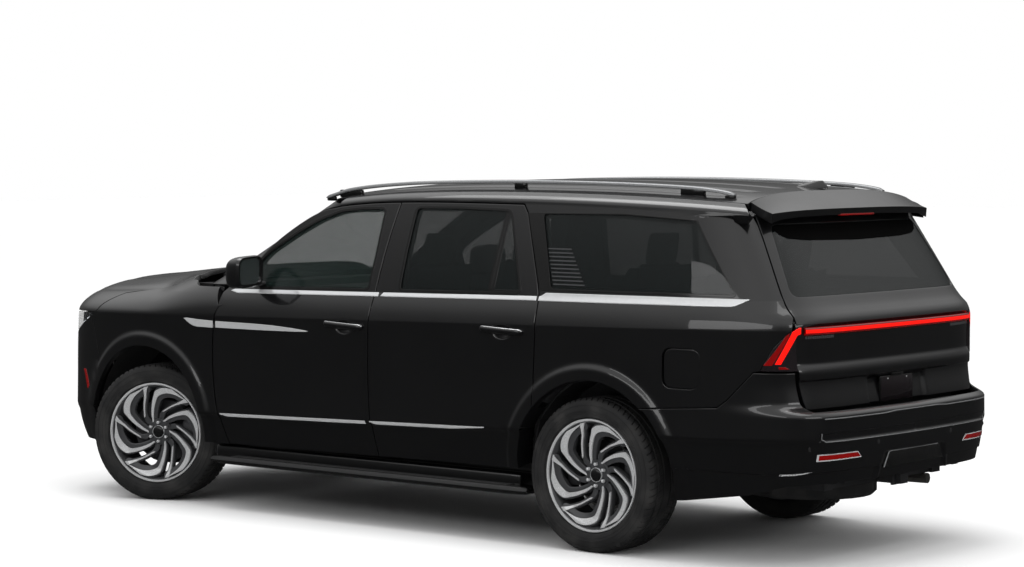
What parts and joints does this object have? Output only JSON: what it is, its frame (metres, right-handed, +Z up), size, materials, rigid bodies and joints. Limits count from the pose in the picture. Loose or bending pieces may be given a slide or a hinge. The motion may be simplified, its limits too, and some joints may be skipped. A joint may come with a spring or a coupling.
{
  "type": "full-size suv",
  "caption": "Long full-size SUV with opening doors, hood, liftgate and fuel door, steered front wheels, turning wheels, roof rails, running boards and a hollow seated cabin.",
  "frame": {"origin": "on the ground, midway between the front and rear ends, on the centre plane", "axes": "+X towards the front, +Y towards the vehicle's left side, +Z up"},
  "size_m": [5.6357, 2.3682, 1.942],
  "materials": {
    "black_paint": "gloss",
    "black_plastic": "matte",
    "tinted_glass": "gloss",
    "chrome": "polished",
    "wheel_metal": "machined",
    "tyre_rubber": "matte",
    "chassis_steel": "satin",
    "red_lens": "gloss",
    "clear_lens": "gloss",
    "cabin_leather": "satin",
    "cast_metal": "satin"
  },
  "bodies": {
    "body": {"body_side_left": "black_paint", "body_side_right": "black_paint", "cabin_floor": "black_plastic", "chassis_frame": "chassis_steel", "cowl_panel": "black_plastic", "dashboard": "cabin_leather", "driveline": "cast_metal", "engine": "cast_metal", "exhaust": "chassis_steel", "front_bumper": "black_paint", "front_fender_left": "black_paint", "front_fender_right": "black_paint", "front_seat_left": "cabin_leather", "front_seat_right": "cabin_leather", "front_suspension": "chassis_steel", "fuel_tank": "black_plastic", "grille": "chrome", "headlamp_left": "clear_lens", "headlamp_right": "clear_lens", "quarter_glass_left": "tinted_glass", "quarter_glass_right": "tinted_glass", "rear_bumper": "black_paint", "rear_suspension": "chassis_steel", "roof_panel": "black_paint", "roof_rail_left": "black_paint", "roof_rail_right": "black_paint", "running_board_left": "black_plastic", "running_board_right": "black_plastic", "second_seat_left": "cabin_leather", "second_seat_right": "cabin_leather", "spare_wheel": "tyre_rubber", "tail_lamp_left": "red_lens", "tail_lamp_right": "red_lens", "third_row_seat": "cabin_leather", "windshield": "tinted_glass"},
    "front_door_left": {"front_door_left": "black_paint", "front_door_glass_left": "tinted_glass", "mirror_left": "black_paint"},
    "rear_door_left": {"rear_door_left": "black_paint", "rear_door_glass_left": "tinted_glass"},
    "steer_left": {"front_knuckle_left": "cast_metal"},
    "wheel_front_left": {"tyre_front_left": "tyre_rubber", "rim_front_left": "wheel_metal"},
    "wheel_rear_left": {"tyre_rear_left": "tyre_rubber", "rim_rear_left": "wheel_metal"},
    "front_door_right": {"front_door_right": "black_paint", "front_door_glass_right": "tinted_glass", "mirror_right": "black_paint"},
    "rear_door_right": {"rear_door_right": "black_paint", "rear_door_glass_right": "tinted_glass"},
    "steer_right": {"front_knuckle_right": "cast_metal"},
    "wheel_front_right": {"tyre_front_right": "tyre_rubber", "rim_front_right": "wheel_metal"},
    "wheel_rear_right": {"tyre_rear_right": "tyre_rubber", "rim_rear_right": "wheel_metal"},
    "hood": {"hood": "black_paint"},
    "liftgate": {"liftgate": "black_paint", "liftgate_glass": "tinted_glass", "light_bar": "red_lens"},
    "fuel_door": {"fuel_door": "black_paint"}
  },
  "joints": [
    {"name": "wheel_rear_left_spin", "type": "hinge", "parent": "body", "child": "wheel_rear_left", "pos_m": [-1.452, 0.8585, 0.403], "axis": [0, 1, 0], "continuous": true},
    {"name": "steer_left", "type": "hinge", "parent": "body", "child": "steer_left", "pos_m": [1.925, 0.79, 0.403], "axis": [0, 0, 1], "range_deg": [-56, 14]},
    {"name": "wheel_front_left_spin", "type": "hinge", "parent": "steer_left", "child": "wheel_front_left", "pos_m": [1.90045, 0.85395, 0.403], "axis": [-0.3584, 0.9336, 0], "continuous": true},
    {"name": "front_door_left_hinge", "type": "hinge", "parent": "body", "child": "front_door_left", "pos_m": [1.3312, 1.008, 0.9], "axis": [0, 0, -1], "range_deg": [0, 68]},
    {"name": "rear_door_left_hinge", "type": "hinge", "parent": "body", "child": "rear_door_left", "pos_m": [0.1052, 1.008, 0.9], "axis": [0, 0, -1], "range_deg": [0, 68]},
    {"name": "wheel_rear_right_spin", "type": "hinge", "parent": "body", "child": "wheel_rear_right", "pos_m": [-1.452, -0.8585, 0.403], "axis": [0, 1, 0], "continuous": true},
    {"name": "steer_right", "type": "hinge", "parent": "body", "child": "steer_right", "pos_m": [1.925, -0.79, 0.403], "axis": [0, 0, 1], "range_deg": [-56, 14]},
    {"name": "wheel_front_right_spin", "type": "hinge", "parent": "steer_right", "child": "wheel_front_right", "pos_m": [1.94955, -0.85395, 0.403], "axis": [-0.3584, 0.9336, 0], "continuous": true},
    {"name": "front_door_right_hinge", "type": "hinge", "parent": "body", "child": "front_door_right", "pos_m": [1.3312, -1.008, 0.9], "axis": [0, 0, 1], "range_deg": [0, 68]},
    {"name": "rear_door_right_hinge", "type": "hinge", "parent": "body", "child": "rear_door_right", "pos_m": [0.1052, -1.008, 0.9], "axis": [0, 0, 1], "range_deg": [0, 68]},
    {"name": "hood_hinge", "type": "hinge", "parent": "body", "child": "hood", "pos_m": [1.645, 0, 1.335], "axis": [0, -1, 0], "range_deg": [0, 50]},
    {"name": "liftgate_hinge", "type": "hinge", "parent": "body", "child": "liftgate", "pos_m": [-2.2835, 0, 1.887], "axis": [0, 1, 0], "range_deg": [0, 85]},
    {"name": "fuel_door_hinge", "type": "hinge", "parent": "body", "child": "fuel_door", "pos_m": [-1.9335, 0.9955, 0.993], "axis": [0, 0, -1], "range_deg": [0, 85]}
  ],
  "couplings": [
    {"joint": "steer_right", "follows": "steer_left", "ratio": 1}
  ]
}
